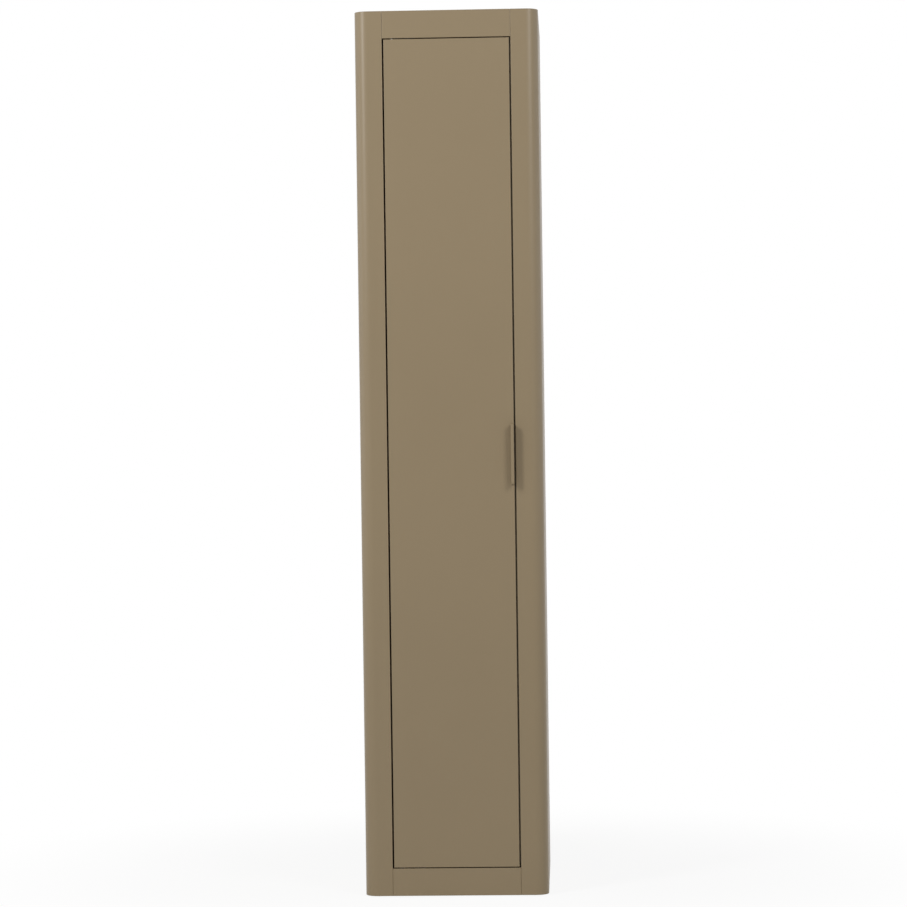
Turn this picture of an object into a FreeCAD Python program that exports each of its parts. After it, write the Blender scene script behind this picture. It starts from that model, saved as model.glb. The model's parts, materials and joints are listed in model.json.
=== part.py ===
import FreeCAD, Part
import math
import os
from FreeCAD import Vector

# Tall cabinet with one flush inset door. Two full-height posts and two rails make the front frame, plain
# side boards stand behind the posts, and the door turns on concealed pivot leaves let into its top and
# bottom edges. Millimetres, +Z up, front towards -Y. The origin is on the floor at the middle of the
# overall box.

# Overall size, the pull not counted in the depth
HEIGHT = 2150.0
WIDTH = 446.0
DEPTH = 530.0

# Front frame
POST_WIDTH = 67.0
POST_DEPTH = 40.0
POST_CORNER_RADIUS = 30.0
RAIL_HEIGHT = 66.5
RAIL_END_RADIUS = 2.0
EDGE_RADIUS = 1.0

# Boards, back and rear rails
BOARD_THICKNESS = 18.0
BACK_THICKNESS = 5.0
GROOVE_DEPTH = 7.0
GROOVE_SLACK = 0.2
REAR_RAIL_THICKNESS = 18.0
REAR_RAIL_HEIGHT = 90.0
WALL_HOLE_RADIUS = 3.0
WALL_HOLE_SPACING = 240.0

# Shelves, the middle one fixed and the others loose on pins
SHELF_COUNT = 5
SHELF_SETBACK = 8.0
SHELF_SLACK = 1.0
PIN_RADIUS = 2.5
PIN_DEPTH = 9.0
PIN_SLACK = 0.05
PEG_RADIUS = 4.0
PEG_LENGTH = 9.0
PIN_PITCH = 32.0
PIN_HOLES_BESIDE = 2
PIN_INSET = 45.0

# Door
DOOR_THICKNESS = 20.0
DOOR_SIDE_GAP = 3.75
DOOR_END_GAP = 2.5

# Pull, a bar let into the opening edge of the door
PULL_THICKNESS = 7.5
PULL_HEIGHT = 146.0
PULL_PROJECTION = 22.0
PULL_CENTRE_HEIGHT = 1072.0
PULL_CORNER_RADIUS = 3.0
PULL_EDGE_RADIUS = 1.2
PULL_SCREW_LENGTH = 32.0
PULL_SCREW_SHARES = (-0.3, 0.3)

# Pivot leaves at the hinge side
PIVOT_INSET = 20.0
LEAF_WIDTH = 11.0
LEAF_LENGTH = 52.0
LEAF_THICKNESS = 2.5
LEAF_SLACK = 0.1
LEAF_SCREW_LENGTH = 25.0
LEAF_SCREW_SHARES = (0.5, 0.92)
PIVOT_PIN_RADIUS = 3.0
PIVOT_PIN_REACH = 4.0
BUSH_RADIUS = 4.5
BUSH_DEPTH = 5.0
RUNNING_FIT = 0.05
WASHER_RADIUS = 7.0
WASHER_SLACK = 0.1

# Stop strip and catches at the opening side
STOP_WIDTH = 24.0
STOP_DEPTH = 14.0
STOP_GAP = 2.0
STOP_SCREW_LENGTH = 44.0
STOP_SCREW_SHARES = (0.05, 0.275, 0.5, 0.725, 0.95)
CATCH_EDGE = 11.0
CATCH_END = 150.0
MAGNET_RADIUS = 5.0
MAGNET_LENGTH = 9.0
MAGNET_PROUD = 0.3
STRIKE_RADIUS = 7.5
STRIKE_THICKNESS = 1.2
STRIKE_SCREW_LENGTH = 14.0
BUMPER_RADIUS = 5.0
BUMPER_SLACK = 0.2
BUMPER_END = 50.0

# Floor glides
GLIDE_RADIUS = 8.0
GLIDE_HEIGHT = 2.0
GLIDE_CHAMFER = 0.6
GLIDE_NAIL_RADIUS = 1.5
GLIDE_NAIL_LENGTH = 14.0
GLIDE_REAR_INSET = 40.0

# Dowels
DOWEL_RADIUS = 4.0
DOWEL_LENGTH = 40.0
DOWEL_CHAMFER = 1.0
DOWEL_SLACK = 0.1
DOWEL_END_SLACK = 1.0
BOARD_DOWEL_HOST_DEPTH = 11.0
POST_DOWEL_COUNT = 8
POST_DOWEL_FIRST_SHARE = 0.5
RAIL_DOWEL_SHARES = (0.22, 0.78)
BOARD_DOWEL_SHARES = (0.08, 0.9)

# Cam locks and their bolts
CAM_RADIUS = 7.5
CAM_HEIGHT = 13.5
CAM_REACH = 24.0
CAM_SLACK = 0.1
CAM_SLOT_WIDTH = 1.6
CAM_SLOT_DEPTH = 2.0
BOLT_RADIUS = 2.5
BOLT_THREAD_RADIUS = 3.0
BOLT_THREAD_LENGTH = 11.0
BOLT_HEAD_RADIUS = 3.5
BOLT_HEAD_LENGTH = 4.0
BOARD_CAM_SHARES = (0.2, 0.78)

# Wood screws with countersunk heads
SCREW_RADIUS = 1.75
SCREW_HEAD_RADIUS = 3.5
SCREW_HEAD_HEIGHT = 2.2
SCREW_TIP_LENGTH = 5.0
SCREW_SLACK = 0.05
SCREW_SLOT_WIDTH = 0.9
SCREW_SLOT_DEPTH = 1.2
SCREW_SLOT_SHARE = 0.62
BACK_SCREW_GRIP = 24.0
BACK_SCREW_SHARES = (-0.7, 0.0, 0.7)

# Every cut runs past the face it opens by this much
OVERRUN = 3.0
# Share of the edge radius within which an edge counts as lying on a plane
NEAR_SHARE = 0.01
# Share of a quarter arc's radius that its middle lies from each of the two straight sides
ARC_MIDDLE_SHARE = 1.0 - math.sqrt(0.5)

# Planes that the pieces share
X_OUT = WIDTH / 2
X_SIDE = X_OUT - BOARD_THICKNESS
X_POST = X_OUT - POST_WIDTH
X_DOOR = X_POST - DOOR_SIDE_GAP
X_PIVOT = -X_DOOR + PIVOT_INSET
X_STOP = X_POST - STOP_WIDTH
X_CATCH = X_DOOR - CATCH_EDGE
X_PULL = X_DOOR - PULL_THICKNESS
X_BACK = X_SIDE + GROOVE_DEPTH - GROOVE_SLACK
Y_PULL = -(DEPTH + PULL_PROJECTION) / 2
Y_FRONT = Y_PULL + PULL_PROJECTION
Y_REAR = Y_FRONT + DEPTH
Y_POST = Y_FRONT + POST_DEPTH
Y_DOOR = Y_FRONT + DOOR_THICKNESS
Y_PIVOT = Y_FRONT + DOOR_THICKNESS / 2
Y_STOP = Y_DOOR + STOP_GAP
Y_BACK_REAR = Y_REAR - REAR_RAIL_THICKNESS
Y_BACK = Y_BACK_REAR - BACK_THICKNESS
Y_SHELF = Y_POST + SHELF_SETBACK
Z_BASE = GLIDE_HEIGHT
Z_FLOOR = Z_BASE + RAIL_HEIGHT
Z_HEAD = HEIGHT - RAIL_HEIGHT
Z_CEILING = HEIGHT - BOARD_THICKNESS
Z_DOOR_LOW = Z_FLOOR + DOOR_END_GAP
Z_DOOR_HIGH = Z_HEAD - DOOR_END_GAP
NEAR = EDGE_RADIUS * NEAR_SHARE

SIDES = {"left": -1, "right": 1}
ACROSS = Vector(1, 0, 0)
INWARD = Vector(0, 1, 0)
UP = Vector(0, 0, 1)

# Cutting solids of each drilled piece, and the solids of each group of like pieces
cuts = {}
groups = {}


def drill(names, cutter):
    for name in names:
        cuts.setdefault(name, []).append(cutter)


def add_to(group, solid):
    groups.setdefault(group, []).append(solid)


def box(x_range, y_range, z_range):
    corner = Vector(x_range[0], y_range[0], z_range[0])
    return Part.makeBox(x_range[1] - x_range[0], y_range[1] - y_range[0], z_range[1] - z_range[0], corner)


def rod(radius, start, direction, length):
    return Part.makeCylinder(radius, length, start, direction)


def ring(outer, inner, start, direction, length):
    bore = rod(inner, start - direction * OVERRUN, direction, length + 2 * OVERRUN)
    return rod(outer, start, direction, length).cut(bore)


def turned(profile, at, direction):
    """A solid turned from (radius, height) points, its foot at a point and its axis along a direction."""
    points = [Vector(radius, 0, height) for radius, height in profile]
    face = Part.Face(Part.makePolygon(points + points[:1]))
    solid = face.revolve(Vector(), UP, 360)
    solid.Placement = FreeCAD.Placement(at, FreeCAD.Rotation(UP, direction))
    return solid


def ease(solid, radius, chosen):
    """Rounds the edges whose middle points pass a test."""
    return solid.makeFillet(radius, [edge for edge in solid.Edges if chosen(edge.CenterOfMass)])


def near(value, plane):
    return abs(value - plane) < NEAR


def cross_slot(at, direction, width, span, depth):
    """Two crossed slots for a driver, sunk into a face from a point on it."""
    slots = []
    for along, wide in ((span, width), (width, span)):
        slot = Part.makeBox(along, wide, depth + OVERRUN, Vector(-along / 2, -wide / 2, -OVERRUN))
        slot.Placement = FreeCAD.Placement(at, FreeCAD.Rotation(UP, direction))
        slots.append(slot)
    return slots


# Fasteners, each of which also drills the pieces it joins


def screw_body(at, direction, length, grown=0.0, above=0.0):
    """A countersunk wood screw from the face at a point, grown and run out above its head for its hole."""
    head = SCREW_HEAD_RADIUS + grown
    shank = SCREW_RADIUS + grown
    profile = [(0, length + grown), (shank, length - SCREW_TIP_LENGTH), (shank, SCREW_HEAD_HEIGHT), (head, 0)]
    if above:
        profile.append((head, -above))
    return turned(profile + [(0, -above)], at, direction)


def screw(group, names, at, direction, length):
    """A wood screw whose head is flush with the face at a point."""
    drill(names, screw_body(at, direction, length, SCREW_SLACK, OVERRUN))
    span = 2 * SCREW_HEAD_RADIUS * SCREW_SLOT_SHARE
    slots = cross_slot(at, direction, SCREW_SLOT_WIDTH, span, SCREW_SLOT_DEPTH)
    add_to(group, screw_body(at, direction, length).cut(slots))


def dowel(group, names, at, direction, host_depth):
    """A dowel through the joint plane at a point, going a given depth into the piece ahead of it."""
    tip = DOWEL_RADIUS - DOWEL_CHAMFER
    far = DOWEL_LENGTH - DOWEL_CHAMFER
    foot = at + direction * (host_depth - DOWEL_LENGTH)
    profile = ((0, 0), (tip, 0), (DOWEL_RADIUS, DOWEL_CHAMFER), (DOWEL_RADIUS, far), (tip, DOWEL_LENGTH),
               (0, DOWEL_LENGTH))
    add_to(group, turned(profile, foot, direction))
    start = foot - direction * DOWEL_END_SLACK
    drill(names, rod(DOWEL_RADIUS + DOWEL_SLACK, start, direction, DOWEL_LENGTH + 2 * DOWEL_END_SLACK))


def cam_joint(board, host, at, direction, face, face_distance):
    """A bolt screwed into the host and gripped by a cam sunk into the board's face."""
    centre = at - direction * CAM_REACH
    head_start = centre - direction * (BOLT_HEAD_LENGTH / 2)
    shank_length = CAM_REACH - BOLT_HEAD_LENGTH / 2
    shank = rod(BOLT_RADIUS, at - direction * shank_length, direction, shank_length)
    bolt = shank.fuse(rod(BOLT_HEAD_RADIUS, head_start, direction, BOLT_HEAD_LENGTH))
    bolt = bolt.fuse(rod(BOLT_THREAD_RADIUS, at, direction, BOLT_THREAD_LENGTH))
    add_to("cam_bolts", bolt.removeSplitter())

    way_radius = BOLT_HEAD_RADIUS + CAM_SLACK
    way_start = head_start - direction * CAM_SLACK
    way = rod(way_radius, way_start, direction, CAM_REACH + BOLT_HEAD_LENGTH / 2 + CAM_SLACK)
    cam_top = centre + face * face_distance
    cam = rod(CAM_RADIUS, cam_top, -face, CAM_HEIGHT).cut(way)
    add_to("cam_locks", cam.cut(cross_slot(cam_top, -face, CAM_SLOT_WIDTH, CAM_RADIUS, CAM_SLOT_DEPTH)))

    drill([board], way)
    pocket_start = cam_top + face * OVERRUN
    drill([board], rod(CAM_RADIUS + CAM_SLACK, pocket_start, -face, CAM_HEIGHT + CAM_SLACK + OVERRUN))
    thread_hole = BOLT_THREAD_LENGTH + DOWEL_END_SLACK
    drill([host], rod(BOLT_THREAD_RADIUS + CAM_SLACK, at, direction, thread_hole))


# Front frame


def post(side):
    """A full-height post with its outer front corner rounded."""
    middle = POST_CORNER_RADIUS * ARC_MIDDLE_SHARE
    front_end = Vector(X_OUT - POST_CORNER_RADIUS, Y_FRONT, Z_BASE)
    arc_middle = Vector(X_OUT - middle, Y_FRONT + middle, Z_BASE)
    side_end = Vector(X_OUT, Y_FRONT + POST_CORNER_RADIUS, Z_BASE)
    corner = Part.Arc(front_end, arc_middle, side_end).toShape()
    straight = Part.makePolygon([side_end, Vector(X_OUT, Y_POST, Z_BASE), Vector(X_POST, Y_POST, Z_BASE),
                                 Vector(X_POST, Y_FRONT, Z_BASE), front_end])
    solid = Part.Face(Part.Wire([corner] + straight.Edges)).extrude(UP * (HEIGHT - Z_BASE))

    def shows(point):
        inner_edge = near(point.x, X_POST) and near(point.y, Y_FRONT)
        end_edge = near(point.z, Z_BASE) or near(point.z, HEIGHT)
        return inner_edge or (end_edge and point.x > X_POST + NEAR and point.y < Y_POST - NEAR)

    solid = ease(solid, EDGE_RADIUS, shows)
    return solid if side > 0 else solid.mirror(Vector(), ACROSS)


def front_rail(z_low):
    """A rail with its ends rounded more, so that its joints with the posts show as fine lines."""
    solid = box((-X_POST, X_POST), (Y_FRONT, Y_POST), (z_low, z_low + RAIL_HEIGHT))
    solid = ease(solid, RAIL_END_RADIUS, lambda point: near(point.y, Y_FRONT) and near(abs(point.x), X_POST))
    return ease(solid, EDGE_RADIUS, lambda point: near(point.y, Y_FRONT) and near(point.x, 0))


# Case boards


def side_board(side):
    """A plain side board with a stopped groove for the back."""
    solid = box((X_SIDE, X_OUT), (Y_POST, Y_REAR), (Z_BASE, HEIGHT))
    solid = ease(solid, EDGE_RADIUS, lambda point: near(point.x, X_OUT))
    groove = box((X_SIDE - OVERRUN, X_SIDE + GROOVE_DEPTH),
                 (Y_BACK - GROOVE_SLACK, Y_BACK_REAR + GROOVE_SLACK),
                 (Z_FLOOR - BOARD_THICKNESS, Z_CEILING + GROOVE_DEPTH))
    solid = solid.cut(groove)
    return solid if side > 0 else solid.mirror(Vector(), ACROSS)


def top_board():
    solid = box((-X_SIDE, X_SIDE), (Y_POST, Y_REAR), (Z_CEILING, HEIGHT))
    groove = box((-X_SIDE - OVERRUN, X_SIDE + OVERRUN),
                 (Y_BACK - GROOVE_SLACK, Y_BACK_REAR + GROOVE_SLACK),
                 (Z_CEILING - OVERRUN, Z_CEILING + GROOVE_DEPTH))
    return solid.cut(groove)


def floor_board():
    return box((-X_SIDE, X_SIDE), (Y_POST, Y_BACK), (Z_FLOOR - BOARD_THICKNESS, Z_FLOOR))


def back_panel():
    return box((-X_BACK, X_BACK), (Y_BACK, Y_BACK_REAR),
               (Z_FLOOR - BOARD_THICKNESS, Z_CEILING + GROOVE_DEPTH - GROOVE_SLACK))


def rear_rail(z_low):
    return box((-X_SIDE, X_SIDE), (Y_BACK_REAR, Y_REAR), (z_low, z_low + REAR_RAIL_HEIGHT))


def shelf_base(number):
    """Height of a shelf's underside: the shelves part the inside into equal bays."""
    pitch = (Z_CEILING - Z_FLOOR + BOARD_THICKNESS) / (SHELF_COUNT + 1)
    return Z_FLOOR + pitch * number - BOARD_THICKNESS


def shelf(number, slack):
    base = shelf_base(number)
    solid = box((-X_SIDE + slack, X_SIDE - slack), (Y_SHELF, Y_BACK - slack), (base, base + BOARD_THICKNESS))
    return ease(solid, EDGE_RADIUS, lambda point: near(point.y, Y_SHELF) and near(point.x, 0))


def shelf_pin(side, y, z):
    """A pin in the side board, with a peg whose flat top carries the shelf."""
    face = Vector(side * X_SIDE, y, z)
    outward = ACROSS * side
    shank = rod(PIN_RADIUS, face, outward, PIN_DEPTH)
    peg = rod(PEG_RADIUS, face, -outward, PEG_LENGTH)
    above = box((-X_OUT, X_OUT), (y - PEG_RADIUS, y + PEG_RADIUS), (z + PIN_RADIUS, z + 2 * PEG_RADIUS))
    return shank.fuse(peg.cut(above)).removeSplitter()


def loose_shelf_numbers():
    middle = (SHELF_COUNT + 1) // 2
    return [number for number in range(1, SHELF_COUNT + 1) if number != middle]


def place_shelf_pins():
    """Four pins under each loose shelf, each in a short column of holes."""
    for number in loose_shelf_numbers():
        z = shelf_base(number) - PIN_RADIUS
        for name, side in SIDES.items():
            for y in (Y_SHELF + PIN_INSET, Y_BACK - PIN_INSET):
                add_to("shelf_pins", shelf_pin(side, y, z))
                for step in range(-PIN_HOLES_BESIDE, PIN_HOLES_BESIDE + 1):
                    mouth = Vector(side * X_SIDE, y, z + step * PIN_PITCH)
                    depth = PIN_DEPTH + DOWEL_END_SLACK
                    drill([name + "_side_board"], rod(PIN_RADIUS + PIN_SLACK, mouth, ACROSS * side, depth))


# Door, pull and pivots


def door_slab():
    """The door, notched at its opening edge for the pull."""
    solid = box((-X_DOOR, X_DOOR), (Y_FRONT, Y_DOOR), (Z_DOOR_LOW, Z_DOOR_HIGH))
    solid = ease(solid, EDGE_RADIUS, lambda point: near(point.y, Y_FRONT) or near(point.y, Y_DOOR))
    notch = box((X_PULL, X_DOOR + OVERRUN), (Y_FRONT - OVERRUN, Y_DOOR + OVERRUN), pull_heights())
    return solid.cut(notch)


def pull_heights():
    return (PULL_CENTRE_HEIGHT - PULL_HEIGHT / 2, PULL_CENTRE_HEIGHT + PULL_HEIGHT / 2)


def pull_bar():
    solid = box((X_PULL, X_DOOR), (Y_PULL, Y_DOOR), pull_heights())
    solid = ease(solid, PULL_CORNER_RADIUS, lambda point: near(point.y, Y_PULL) and not (
        near(point.x, X_PULL) or near(point.x, X_DOOR) or near(point.z, PULL_CENTRE_HEIGHT)))
    return ease(solid, PULL_EDGE_RADIUS, lambda point: near(point.x, X_PULL) or near(point.x, X_DOOR))


def leaf_plate(z_low, grown=0.0):
    """A flat leaf with round ends, one of them about the pivot."""
    radius = LEAF_WIDTH / 2 + grown
    end = X_PIVOT + LEAF_LENGTH
    plate = box((X_PIVOT, end), (Y_PIVOT - radius, Y_PIVOT + radius), (z_low, z_low + LEAF_THICKNESS))
    for x in (X_PIVOT, end):
        plate = plate.fuse(rod(radius, Vector(x, Y_PIVOT, z_low), UP, LEAF_THICKNESS))
    return plate.removeSplitter()


def place_pivot(end, rail_face, door_face, sense):
    """The leaf in the rail with its pin, and the leaf in the door with its bush, at one end of the door."""
    axis = UP * sense
    rail_leaf_name = end + "_rail_leaf"
    door_leaf_name = end + "_door_leaf"
    rail_leaf_low = rail_face - LEAF_THICKNESS if sense > 0 else rail_face
    door_leaf_low = door_face if sense > 0 else door_face - LEAF_THICKNESS
    pin_foot = Vector(X_PIVOT, Y_PIVOT, rail_face) - axis * LEAF_THICKNESS
    pin_length = 2 * LEAF_THICKNESS + DOOR_END_GAP + PIVOT_PIN_REACH
    pin = rod(PIVOT_PIN_RADIUS, pin_foot, axis, pin_length)
    bush_mouth = Vector(X_PIVOT, Y_PIVOT, door_face)
    bush_length = LEAF_THICKNESS + BUSH_DEPTH
    bush_hole = rod(BUSH_RADIUS + RUNNING_FIT, bush_mouth - axis * OVERRUN, axis, bush_length + OVERRUN)
    add_to(end + "_pivot_pin", pin)
    add_to("pivot_bushes", ring(BUSH_RADIUS, PIVOT_PIN_RADIUS + RUNNING_FIT, bush_mouth, axis, bush_length))
    add_to(rail_leaf_name, leaf_plate(rail_leaf_low))
    add_to(door_leaf_name, leaf_plate(door_leaf_low))
    drill([rail_leaf_name], pin)
    drill([end + "_rail"], leaf_plate(rail_leaf_low, LEAF_SLACK))
    drill(["door_slab"], leaf_plate(door_leaf_low, LEAF_SLACK))
    drill(["door_slab", door_leaf_name], bush_hole)
    for share in LEAF_SCREW_SHARES:
        x = X_PIVOT + LEAF_LENGTH * share
        screw("rail_leaf_screws", [end + "_rail", rail_leaf_name], Vector(x, Y_PIVOT, rail_face), -axis,
              LEAF_SCREW_LENGTH)
        screw("door_leaf_screws", ["door_slab", door_leaf_name], Vector(x, Y_PIVOT, door_face), axis,
              LEAF_SCREW_LENGTH)


def pivot_washer():
    """The washer on the lower pin, which carries the door."""
    foot = Vector(X_PIVOT, Y_PIVOT, Z_FLOOR)
    return ring(WASHER_RADIUS, PIVOT_PIN_RADIUS + RUNNING_FIT, foot, UP, DOOR_END_GAP - WASHER_SLACK)


# Stop strip, catches and glides


def stop_strip():
    return box((X_STOP, X_POST), (Y_STOP, Y_STOP + STOP_DEPTH), (Z_FLOOR, Z_HEAD))


def place_stops():
    """Magnets and bumpers in the stop strip, and the strike plates on the door that they meet."""
    for z in (Z_FLOOR + CATCH_END, Z_HEAD - CATCH_END):
        magnet_face = Vector(X_CATCH, Y_STOP - MAGNET_PROUD, z)
        add_to("catch_magnets", rod(MAGNET_RADIUS, magnet_face, INWARD, MAGNET_LENGTH))
        drill(["stop_strip"], rod(MAGNET_RADIUS + RUNNING_FIT, magnet_face, INWARD, MAGNET_LENGTH))
        strike_back = Vector(X_CATCH, Y_DOOR, z)
        strike_face = strike_back + INWARD * STRIKE_THICKNESS
        add_to("strike_plates", rod(STRIKE_RADIUS, strike_back, INWARD, STRIKE_THICKNESS))
        screw("strike_screws", ["strike_plates", "door_slab"], strike_face, -INWARD, STRIKE_SCREW_LENGTH)
    for z in (Z_FLOOR + BUMPER_END, Z_HEAD - BUMPER_END):
        bumper_foot = Vector(X_CATCH, Y_STOP, z)
        add_to("door_bumpers", rod(BUMPER_RADIUS, bumper_foot, -INWARD, STOP_GAP - BUMPER_SLACK))
    for share in STOP_SCREW_SHARES:
        at = Vector(X_STOP, Y_STOP + STOP_DEPTH / 2, Z_FLOOR + (Z_HEAD - Z_FLOOR) * share)
        screw("stop_screws", ["stop_strip", "right_post"], at, ACROSS, STOP_SCREW_LENGTH)


def place_glides():
    """A nailed glide under each post and under the rear of each side board."""
    top = GLIDE_HEIGHT + GLIDE_NAIL_LENGTH
    profile = ((0, 0), (GLIDE_RADIUS - GLIDE_CHAMFER, 0), (GLIDE_RADIUS, GLIDE_CHAMFER),
               (GLIDE_RADIUS, GLIDE_HEIGHT), (GLIDE_NAIL_RADIUS, GLIDE_HEIGHT), (GLIDE_NAIL_RADIUS, top),
               (0, top))
    for name, side in SIDES.items():
        under_post = Vector(side * (X_OUT - POST_WIDTH / 2), Y_FRONT + POST_DEPTH / 2, 0)
        under_side = Vector(side * (X_OUT - BOARD_THICKNESS / 2), Y_REAR - GLIDE_REAR_INSET, 0)
        for at, carrier in ((under_post, name + "_post"), (under_side, name + "_side_board")):
            add_to("floor_glides", turned(profile, at, UP))
            hole = rod(GLIDE_NAIL_RADIUS + SCREW_SLACK, at, UP, top + DOWEL_END_SLACK)
            drill([carrier], hole)


# Joinery


def join_frame():
    """Dowels and a cam at each rail end, and dowels between posts and side boards."""
    for name, side in SIDES.items():
        outward = ACROSS * side
        for rail, z_low in (("bottom_rail", Z_BASE), ("top_rail", Z_HEAD)):
            for share in RAIL_DOWEL_SHARES:
                at = Vector(side * X_POST, Y_FRONT + POST_DEPTH / 2, z_low + RAIL_HEIGHT * share)
                dowel("frame_dowels", [rail, name + "_post"], at, outward, DOWEL_LENGTH / 2)
            bolt_at = Vector(side * X_POST, Y_POST - BOARD_THICKNESS / 2, z_low + RAIL_HEIGHT / 2)
            cam_joint(rail, name + "_post", bolt_at, outward, INWARD, BOARD_THICKNESS / 2)
        for number in range(POST_DOWEL_COUNT):
            z = Z_BASE + (HEIGHT - Z_BASE) * (number + POST_DOWEL_FIRST_SHARE) / POST_DOWEL_COUNT
            at = Vector(side * (X_OUT - BOARD_THICKNESS / 2), Y_POST, z)
            dowel("post_dowels", [name + "_side_board", name + "_post"], at, -INWARD, DOWEL_LENGTH / 2)


def join_board(board, y_range, z_middle):
    """Dowels and cams from both ends of a board into the side boards, the cams in its underside."""
    depth = y_range[1] - y_range[0]
    for name, side in SIDES.items():
        host = name + "_side_board"
        for share in BOARD_DOWEL_SHARES:
            at = Vector(side * X_SIDE, y_range[0] + depth * share, z_middle)
            dowel("board_dowels", [board, host], at, ACROSS * side, BOARD_DOWEL_HOST_DEPTH)
        for share in BOARD_CAM_SHARES:
            at = Vector(side * X_SIDE, y_range[0] + depth * share, z_middle)
            cam_joint(board, host, at, ACROSS * side, -UP, BOARD_THICKNESS / 2)


def join_rear_rail(rail, z_low):
    for name, side in SIDES.items():
        for share in RAIL_DOWEL_SHARES:
            at = Vector(side * X_SIDE, Y_REAR - REAR_RAIL_THICKNESS / 2, z_low + REAR_RAIL_HEIGHT * share)
            dowel("rear_dowels", [rail, name + "_side_board"], at, ACROSS * side, BOARD_DOWEL_HOST_DEPTH)


def fix_back(fixed_shelf_middle):
    """Screws through the back into the fixed shelf, and through the lower rear rail into the floor."""
    for share in BACK_SCREW_SHARES:
        x = X_SIDE * share
        screw("back_screws", ["back_panel", "fixed_shelf"],
              Vector(x, Y_BACK_REAR, fixed_shelf_middle), -INWARD,
              BACK_THICKNESS + BACK_SCREW_GRIP)
        screw("rear_rail_screws", ["rear_bottom_rail", "back_panel", "floor_board"],
              Vector(x, Y_REAR, Z_FLOOR - BOARD_THICKNESS / 2), -INWARD,
              REAR_RAIL_THICKNESS + BACK_THICKNESS + BACK_SCREW_GRIP)


def drill_wall_holes(z_low):
    """Two holes through the upper rear rail and the back for fixing the cabinet to a wall."""
    for x in (-WALL_HOLE_SPACING / 2, WALL_HOLE_SPACING / 2):
        start = Vector(x, Y_REAR + OVERRUN, z_low + REAR_RAIL_HEIGHT / 2)
        length = REAR_RAIL_THICKNESS + BACK_THICKNESS + 2 * OVERRUN
        drill(["rear_top_rail", "back_panel"], rod(WALL_HOLE_RADIUS, start, -INWARD, length))


def build():
    """All solids by node name, before they are drilled."""
    z_rear_top = Z_CEILING - REAR_RAIL_HEIGHT
    fixed_number = (SHELF_COUNT + 1) // 2
    fixed_middle = shelf_base(fixed_number) + BOARD_THICKNESS / 2
    join_frame()
    join_board("top_board", (Y_POST, Y_REAR), HEIGHT - BOARD_THICKNESS / 2)
    join_board("floor_board", (Y_POST, Y_BACK), Z_FLOOR - BOARD_THICKNESS / 2)
    join_board("fixed_shelf", (Y_SHELF, Y_BACK), fixed_middle)
    join_rear_rail("rear_top_rail", z_rear_top)
    join_rear_rail("rear_bottom_rail", Z_BASE)
    fix_back(fixed_middle)
    drill_wall_holes(z_rear_top)
    place_shelf_pins()
    place_pivot("bottom", Z_FLOOR, Z_DOOR_LOW, 1)
    place_pivot("top", Z_HEAD, Z_DOOR_HIGH, -1)
    place_stops()
    place_glides()
    for share in PULL_SCREW_SHARES:
        at = Vector(X_DOOR, Y_PIVOT, PULL_CENTRE_HEIGHT + PULL_HEIGHT * share)
        screw("pull_screws", ["edge_pull", "door_slab"], at, -ACROSS, PULL_SCREW_LENGTH)

    nodes = dict(groups)
    for name, side in SIDES.items():
        nodes[name + "_post"] = [post(side)]
        nodes[name + "_side_board"] = [side_board(side)]
    nodes["bottom_rail"] = [front_rail(Z_BASE)]
    nodes["top_rail"] = [front_rail(Z_HEAD)]
    nodes["top_board"] = [top_board()]
    nodes["floor_board"] = [floor_board()]
    nodes["back_panel"] = [back_panel()]
    nodes["rear_top_rail"] = [rear_rail(z_rear_top)]
    nodes["rear_bottom_rail"] = [rear_rail(Z_BASE)]
    nodes["fixed_shelf"] = [shelf(fixed_number, 0)]
    for number in loose_shelf_numbers():
        nodes["loose_shelf_" + str(number)] = [shelf(number, SHELF_SLACK)]
    nodes["door_slab"] = [door_slab()]
    nodes["edge_pull"] = [pull_bar()]
    nodes["stop_strip"] = [stop_strip()]
    nodes["pivot_washer"] = [pivot_washer()]
    return nodes


def write(nodes):
    """Drills each node and writes it to its own file."""
    os.makedirs("parts", exist_ok=True)
    for name, solids in sorted(nodes.items()):
        if name in cuts:
            solids = [solid.cut(cuts[name]) for solid in solids]
        shape = solids[0] if len(solids) == 1 else Part.makeCompound(solids)
        shape.exportStep(os.path.join("parts", name + ".step"))
        print(name, len(shape.Solids), shape.isValid(), round(shape.Volume))


write(build())
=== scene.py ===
import json
import math
from collections import namedtuple

import bpy
from mathutils import Matrix, Vector

# Looks of the tall cabinet: a procedural finish for every material slot of the record, soft studio light,
# a pale floor and the photograph's camera. Metres, +Z up, front towards -Y.

# Camera, as fitted to the lines of the photograph; its turns are in radians
CAMERA_PLACE = (0.28057, -7.454, 1.14142)
CAMERA_YAW = -0.03825
CAMERA_PITCH = -0.00915
CAMERA_ROLL = -0.0133
FOCAL_PIXELS = 2971.9
IMAGE_PIXELS = 907
SENSOR_MM = 36.0

# Studio: two soft boxes and two side panels, aimed at a point on the cabinet, and an even dome.
# Azimuth is 0 in front and positive to the right. Angles are in degrees, power in watts.
Lamp = namedtuple("Lamp", "azimuth elevation distance size power")
AIM = (0.0, -0.25, 1.15)
LAMPS = {
    "left_soft_box": Lamp(azimuth=-44.0, elevation=29.0, distance=4.6, size=(0.9, 1.9), power=107.0),
    "right_soft_box": Lamp(azimuth=37.0, elevation=29.0, distance=4.6, size=(1.4, 1.6), power=72.0),
    "left_panel": Lamp(azimuth=-88.0, elevation=15.0, distance=3.0, size=(1.8, 2.4), power=15.0),
    "right_panel": Lamp(azimuth=88.0, elevation=15.0, distance=3.0, size=(1.8, 2.4), power=9.0),
}
WHITE = (1.0, 1.0, 1.0, 1.0)
DOME_STRENGTH = 0.232

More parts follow.
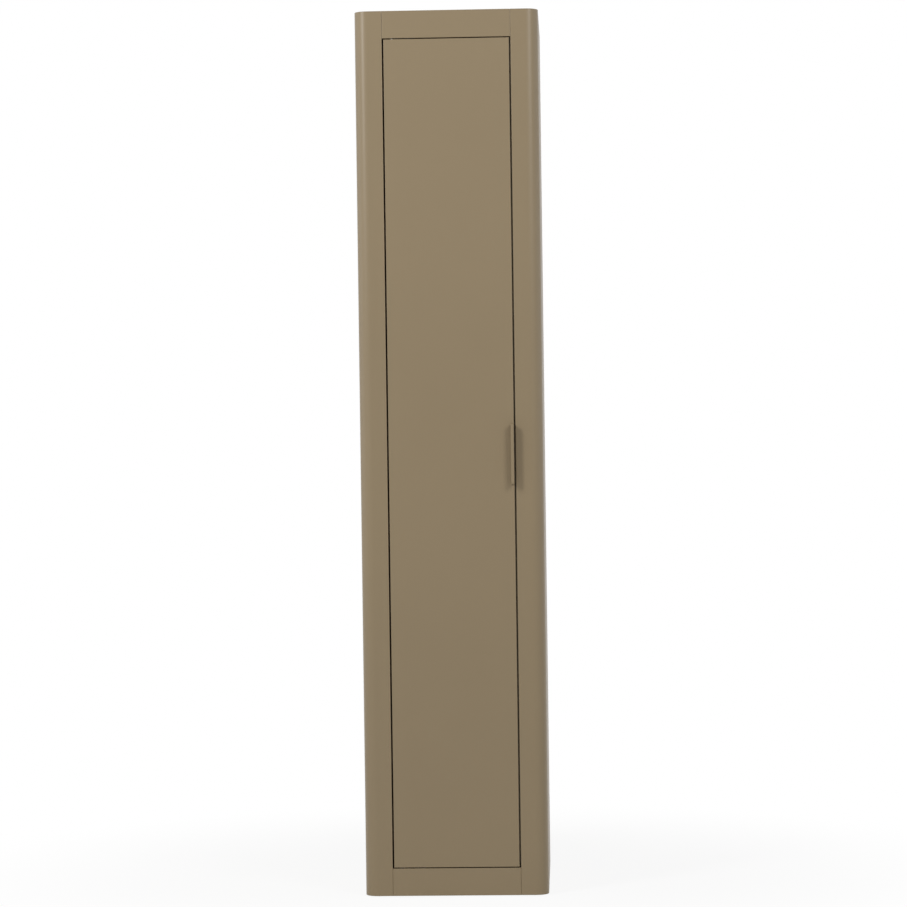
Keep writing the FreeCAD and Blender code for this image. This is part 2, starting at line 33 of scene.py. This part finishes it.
# Floor: it clears to white between two distances from the middle of the cabinet
FLOOR_SIZE = 40.0
FLOOR_COLOUR = (0.82, 0.82, 0.81, 1.0)
FLOOR_WHITE_SHARE = 0.9
FLOOR_CLEAR_FROM = 0.5
FLOOR_CLEAR_TO = 1.6

# Noise: the part of its values that is used, and its usual detail and fineness
NOISE_LOW = 0.3
NOISE_HIGH = 0.7
NOISE_DETAIL = 3.0
NOISE_FINENESS = 0.5

# Lacquer: two tones of faint clouding, a satin gloss and a fine orange peel. Faces that look up are
# duller, between two values of the upward part of their normal. Scales are in waves per metre.
LACQUER_TONES = ((0.243, 0.185, 0.109), (0.253, 0.193, 0.114))
LACQUER_CLOUD_SCALE = 2.2
LACQUER_CLOUD_DETAIL = 4.0
LACQUER_ROUGHNESS = (0.36, 0.39)
LACQUER_GLOSS_SCALE = 35.0
LACQUER_SPECULAR = 0.4
LACQUER_PEEL_SCALE = 900.0
LACQUER_PEEL_DETAIL = 2.0
LACQUER_PEEL_STRENGTH = 0.06
LACQUER_PEEL_DEPTH = 0.0003
DULLER_ON_TOP = 0.42
DULLER_FROM = 0.5
DULLER_TO = 0.95

# Grained finishes: one noise pattern runs between two colours and two values of roughness and makes a
# fine relief. Scale is in waves per metre, and a stretch below 1 draws the pattern out along that axis.
EVEN = (1.0, 1.0, 1.0)
Grain = namedtuple("Grain", "dark light roughness scale detail fineness relief depth stretch metallic "
                            "transmission", defaults=(EVEN, 0.0, 0.0))
METAL = {"detail": 3.0, "fineness": 0.6, "relief": 0.1, "depth": 0.0001, "metallic": 1.0}
PLASTIC = {"scale": 1800.0, "detail": 3.0, "fineness": 0.5, "relief": 0.12, "depth": 0.0002}
GRAINS = {
    # Plain pressed board with fine upright fibres
    "backboard": Grain(dark=(0.25, 0.175, 0.1), light=(0.36, 0.265, 0.165), roughness=(0.62, 0.78),
                       scale=420.0, detail=5.0, fineness=0.7, relief=0.15, depth=0.0004,
                       stretch=(1.0, 1.0, 0.35)),
    # Pale dowel wood with short level flecks
    "beech": Grain(dark=(0.5, 0.33, 0.19), light=(0.67, 0.48, 0.3), roughness=(0.5, 0.65),
                   scale=1400.0, detail=4.0, fineness=0.6, relief=0.2, depth=0.0002,
                   stretch=(0.2, 0.2, 1.0)),
    # Steel brushed along X, for leaves, pins and strike plates
    "steel": Grain(dark=(0.5, 0.5, 0.49), light=(0.64, 0.64, 0.63), roughness=(0.48, 0.6),
                   scale=900.0, stretch=(0.08, 1.0, 1.0), **METAL),
    # Plated steel of all screws
    "screws": Grain(dark=(0.46, 0.45, 0.43), light=(0.62, 0.61, 0.58), roughness=(0.28, 0.42),
                    scale=1500.0, **METAL),
    # Cast zinc of the cams and their bolts
    "zinc": Grain(dark=(0.43, 0.44, 0.45), light=(0.56, 0.57, 0.58), roughness=(0.4, 0.55),
                  scale=700.0, **METAL),
    # Turned bronze of the pivot bushes
    "bronze": Grain(dark=(0.46, 0.31, 0.14), light=(0.6, 0.42, 0.2), roughness=(0.3, 0.45),
                    scale=1200.0, stretch=(1.0, 1.0, 0.1), **METAL),
    # Dark metal of the catch magnets
    "magnet": Grain(dark=(0.12, 0.12, 0.13), light=(0.2, 0.2, 0.21), roughness=(0.35, 0.5),
                    scale=1300.0, **METAL),
    # Black nylon of the glides and the washer
    "nylon": Grain(dark=(0.022, 0.022, 0.022), light=(0.038, 0.038, 0.038), roughness=(0.42, 0.55),
                   **PLASTIC),
    # Cloudy silicone of the bumpers
    "silicone": Grain(dark=(0.66, 0.67, 0.66), light=(0.76, 0.77, 0.76), roughness=(0.2, 0.32),
                      transmission=0.6, **PLASTIC),
}

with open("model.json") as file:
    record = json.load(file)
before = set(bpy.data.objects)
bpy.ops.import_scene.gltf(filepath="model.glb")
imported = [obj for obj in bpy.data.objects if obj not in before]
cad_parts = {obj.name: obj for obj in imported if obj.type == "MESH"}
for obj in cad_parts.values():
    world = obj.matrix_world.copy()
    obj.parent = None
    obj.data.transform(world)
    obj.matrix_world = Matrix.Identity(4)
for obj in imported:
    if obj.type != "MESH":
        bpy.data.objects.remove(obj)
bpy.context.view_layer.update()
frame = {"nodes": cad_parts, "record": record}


def node_adder(tree):
    """A helper that adds a node to the tree, makes its settings and sets or links its inputs."""

    def add(kind, inputs=None, **settings):
        node = tree.nodes.new(kind)
        for key, value in settings.items():
            setattr(node, key, value)
        for key, value in (inputs or {}).items():
            if isinstance(value, bpy.types.NodeSocket):
                tree.links.new(value, node.inputs[key])
            else:
                node.inputs[key].default_value = value
        return node

    return add


def new_material(name):
    """A node material, its Principled shader, and helpers that link sockets and add nodes."""
    material = bpy.data.materials.new(name)
    material.use_nodes = True
    tree = material.node_tree
    return material, tree.nodes["Principled BSDF"], tree.links.new, node_adder(tree)


def place_in_piece(add, stretch=EVEN):
    """The place on the piece in metres, scaled along its axes."""
    coordinates = add("ShaderNodeTexCoord")
    mapping = add("ShaderNodeMapping", {"Vector": coordinates.outputs["Object"], "Scale": stretch})
    return mapping.outputs["Vector"]


def noise(add, place, scale, detail=NOISE_DETAIL, fineness=NOISE_FINENESS):
    """A cloudy pattern of values about a half."""
    node = add("ShaderNodeTexNoise", {"Vector": place, "Scale": scale, "Detail": detail,
                                      "Roughness": fineness})
    return node.outputs["Fac"]


def spread(add, factor, low, high):
    """Turns a noise value into a range of numbers."""
    node = add("ShaderNodeMapRange", {"Value": factor, "From Min": NOISE_LOW, "From Max": NOISE_HIGH,
                                      "To Min": low, "To Max": high})
    return node.outputs["Result"]


def between(add, factor, first, second):
    """Mixes two colours by a factor."""
    node = add("ShaderNodeMix", {0: factor}, data_type="RGBA")
    colour_inputs = [socket for socket in node.inputs if socket.type == "RGBA"]
    for socket, colour in zip(colour_inputs, (first, second)):
        socket.default_value = (*colour, 1.0)
    return [socket for socket in node.outputs if socket.type == "RGBA"][0]


def bump(add, height, strength, depth):
    """A relief that follows a pattern."""
    node = add("ShaderNodeBump", {"Height": height, "Strength": strength, "Distance": depth})
    return node.outputs["Normal"]


def facing_up(add, amount):
    """0 on upright faces, rising to the amount on faces that look up."""
    geometry = add("ShaderNodeNewGeometry")
    parts = add("ShaderNodeSeparateXYZ", {"Vector": geometry.outputs["Normal"]})
    node = add("ShaderNodeMapRange", {"Value": parts.outputs["Z"], "From Min": DULLER_FROM,
                                      "From Max": DULLER_TO, "To Max": amount},
               interpolation_type="SMOOTHSTEP")
    return node.outputs["Result"]


def lacquer():
    """Sprayed satin lacquer: faintly clouded colour, uneven gloss, duller on top, and a fine orange peel."""
    material, shader, link, add = new_material("lacquer")
    place = place_in_piece(add)
    clouds = spread(add, noise(add, place, LACQUER_CLOUD_SCALE, LACQUER_CLOUD_DETAIL), 0.0, 1.0)
    gloss = spread(add, noise(add, place, LACQUER_GLOSS_SCALE), *LACQUER_ROUGHNESS)
    dulled = add("ShaderNodeMath", {0: gloss, 1: facing_up(add, DULLER_ON_TOP)}, operation="ADD")
    peel = noise(add, place, LACQUER_PEEL_SCALE, LACQUER_PEEL_DETAIL)
    link(between(add, clouds, *LACQUER_TONES), shader.inputs["Base Color"])
    link(dulled.outputs["Value"], shader.inputs["Roughness"])
    link(bump(add, peel, LACQUER_PEEL_STRENGTH, LACQUER_PEEL_DEPTH), shader.inputs["Normal"])
    shader.inputs["Specular IOR Level"].default_value = LACQUER_SPECULAR
    return material


def grained(name, grain):
    """A finish whose colour, gloss and relief follow one pattern."""
    material, shader, link, add = new_material(name)
    place = place_in_piece(add, grain.stretch)
    pattern = spread(add, noise(add, place, grain.scale, grain.detail, grain.fineness), 0.0, 1.0)
    link(between(add, pattern, grain.dark, grain.light), shader.inputs["Base Color"])
    link(spread(add, pattern, *grain.roughness), shader.inputs["Roughness"])
    link(bump(add, pattern, grain.relief, grain.depth), shader.inputs["Normal"])
    shader.inputs["Metallic"].default_value = grain.metallic
    shader.inputs["Transmission Weight"].default_value = grain.transmission
    return material


def dress(nodes, record):
    """Gives each CAD node its slot's material."""
    materials = {name: grained(name, grain) for name, grain in GRAINS.items()}
    materials["lacquer"] = lacquer()
    for piece in record["subparts"]:
        slots = nodes[piece["node"]].data.materials
        slots.clear()
        slots.append(materials[piece["material_slot"]])


def make_camera():
    """The photograph's camera, from its place and its three turns."""
    forward = Vector((math.sin(CAMERA_YAW) * math.cos(CAMERA_PITCH),
                      math.cos(CAMERA_YAW) * math.cos(CAMERA_PITCH), math.sin(CAMERA_PITCH)))
    level = Vector((math.cos(CAMERA_YAW), -math.sin(CAMERA_YAW), 0.0))
    upright = level.cross(forward)
    right = level * math.cos(CAMERA_ROLL) + upright * math.sin(CAMERA_ROLL)
    up = upright * math.cos(CAMERA_ROLL) - level * math.sin(CAMERA_ROLL)
    turn = Matrix((right, up, -forward)).transposed().to_4x4()
    data = bpy.data.cameras.new("camera")
    data.sensor_fit = "HORIZONTAL"
    data.sensor_width = SENSOR_MM
    data.lens = SENSOR_MM * FOCAL_PIXELS / IMAGE_PIXELS
    camera = bpy.data.objects.new("camera", data)
    camera.matrix_world = Matrix.Translation(CAMERA_PLACE) @ turn
    bpy.context.scene.collection.objects.link(camera)
    bpy.context.scene.camera = camera


def make_lights():
    """Area lamps placed about the aim and turned towards it."""
    for name, lamp in LAMPS.items():
        azimuth = math.radians(lamp.azimuth)
        elevation = math.radians(lamp.elevation)
        away = Vector((math.sin(azimuth) * math.cos(elevation), -math.cos(azimuth) * math.cos(elevation),
                       math.sin(elevation)))
        data = bpy.data.lights.new(name, "AREA")
        data.shape = "RECTANGLE"
        data.size, data.size_y = lamp.size
        data.energy = lamp.power
        light = bpy.data.objects.new(name, data)
        light.location = Vector(AIM) + away * lamp.distance
        light.rotation_euler = away.to_track_quat("Z", "Y").to_euler()
        bpy.context.scene.collection.objects.link(light)


def seen_directly(add):
    """1 where the camera, a reflection or a clear material looks at the surface, else 0."""
    path = add("ShaderNodeLightPath")
    value = path.outputs["Is Camera Ray"]
    for output in ("Is Glossy Ray", "Is Transmission Ray"):
        larger = add("ShaderNodeMath", {0: value, 1: path.outputs[output]}, operation="MAXIMUM")
        value = larger.outputs["Value"]
    return value


def make_world():
    """An even dome that looks white and lights at a plain level."""
    world = bpy.data.worlds.new("studio")
    world.use_nodes = True
    tree = world.node_tree
    add = node_adder(tree)
    strength = add("ShaderNodeMapRange", {"Value": seen_directly(add), "To Min": DOME_STRENGTH})
    background = tree.nodes["Background"]
    background.inputs["Color"].default_value = WHITE
    tree.links.new(strength.outputs["Result"], background.inputs["Strength"])
    bpy.context.scene.world = world


def floor_finish():
    """Pale and matt, clearing to white away from the cabinet where it is seen directly."""
    material = bpy.data.materials.new("floor")
    material.use_nodes = True
    tree = material.node_tree
    tree.nodes.clear()
    add = node_adder(tree)
    coordinates = add("ShaderNodeTexCoord")
    distance = add("ShaderNodeVectorMath", {0: coordinates.outputs["Object"]}, operation="LENGTH")
    clearing = add("ShaderNodeMapRange", {"Value": distance.outputs["Value"], "From Min": FLOOR_CLEAR_FROM,
                                          "From Max": FLOOR_CLEAR_TO, "To Min": FLOOR_WHITE_SHARE},
                   interpolation_type="SMOOTHSTEP")
    share = add("ShaderNodeMath", {0: clearing.outputs["Result"], 1: seen_directly(add)},
                operation="MULTIPLY")
    pale = add("ShaderNodeBsdfDiffuse", {"Color": FLOOR_COLOUR})
    white = add("ShaderNodeEmission", {"Color": WHITE})
    mix = add("ShaderNodeMixShader", {0: share.outputs["Value"], 1: pale.outputs["BSDF"],
                                      2: white.outputs["Emission"]})
    add("ShaderNodeOutputMaterial", {"Surface": mix.outputs["Shader"]})
    return material


def make_floor():
    """A square floor about the cabinet, which keeps its soft shadow."""
    half = FLOOR_SIZE / 2
    corners = [(-half, -half, 0.0), (half, -half, 0.0), (half, half, 0.0), (-half, half, 0.0)]
    mesh = bpy.data.meshes.new("floor")
    mesh.from_pydata(corners, [], [(0, 1, 2, 3)])
    mesh.materials.append(floor_finish())
    floor = bpy.data.objects.new("floor", mesh)
    bpy.context.scene.collection.objects.link(floor)


dress(frame["nodes"], frame["record"])
make_camera()
make_lights()
make_world()
make_floor()
bpy.context.scene.view_settings.view_transform = "Standard"
